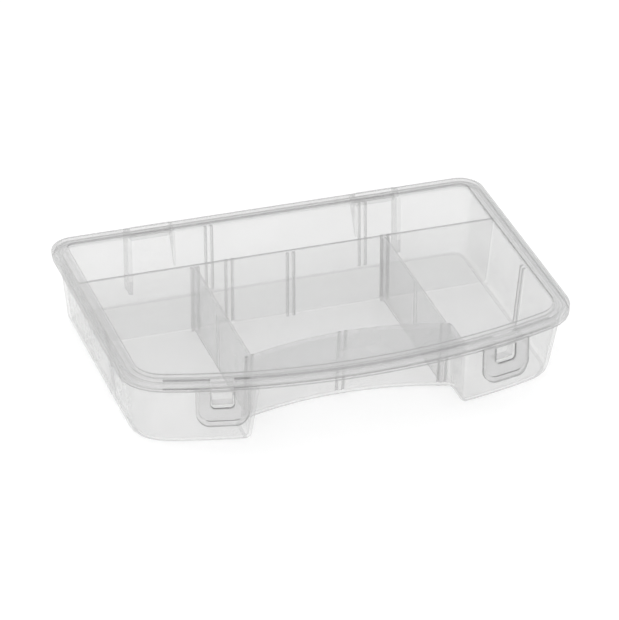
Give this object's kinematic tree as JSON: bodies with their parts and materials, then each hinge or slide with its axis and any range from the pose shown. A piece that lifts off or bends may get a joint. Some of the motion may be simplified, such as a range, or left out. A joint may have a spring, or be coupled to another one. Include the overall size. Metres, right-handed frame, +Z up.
{
  "type": "parts organizer",
  "caption": "Shallow see-through plastic compartment box with a hinged lid, front latch flaps, a curved front edge, a finger recess and removable dividers.",
  "frame": {"origin": "on the resting surface, under the middle of the closed box's overall length, depth and height box", "axes": "+X to the right along the long hinge edge, +Y to the back where the hinge is, +Z up; the curved front edge with the latches faces -Y"},
  "size_m": [0.2, 0.1527, 0.0365],
  "materials": {
    "tray_plastic": "milky translucent polypropylene, satin",
    "divider_plastic": "milky translucent polypropylene, satin",
    "pin_plastic": "milky translucent polypropylene, satin",
    "lid_plastic": "nearly clear polypropylene, glossy top",
    "latch_plastic": "milky translucent polypropylene, satin"
  },
  "bodies": {
    "tray": {"tray": "tray_plastic", "divider_left": "divider_plastic", "divider_right": "divider_plastic", "hinge_pin_left": "pin_plastic", "hinge_pin_right": "pin_plastic"},
    "lid": {"lid": "lid_plastic"},
    "latch_left": {"latch_left": "latch_plastic"},
    "latch_right": {"latch_right": "latch_plastic"}
  },
  "joints": [
    {"name": "lid_hinge", "type": "hinge", "parent": "tray", "child": "lid", "pos_m": [0, 0.07345, 0.031], "axis": [-1, 0, 0], "range_deg": [0, 135]},
    {"name": "latch_left_hinge", "type": "hinge", "parent": "lid", "child": "latch_left", "pos_m": [-0.06239, -0.07028, 0.0334], "axis": [-0.9757, 0.2191, 0], "range_deg": [0, 100]},
    {"name": "latch_right_hinge", "type": "hinge", "parent": "lid", "child": "latch_right", "pos_m": [0.06239, -0.07028, 0.0334], "axis": [-0.9757, -0.2191, 0], "range_deg": [0, 100]}
  ]
}
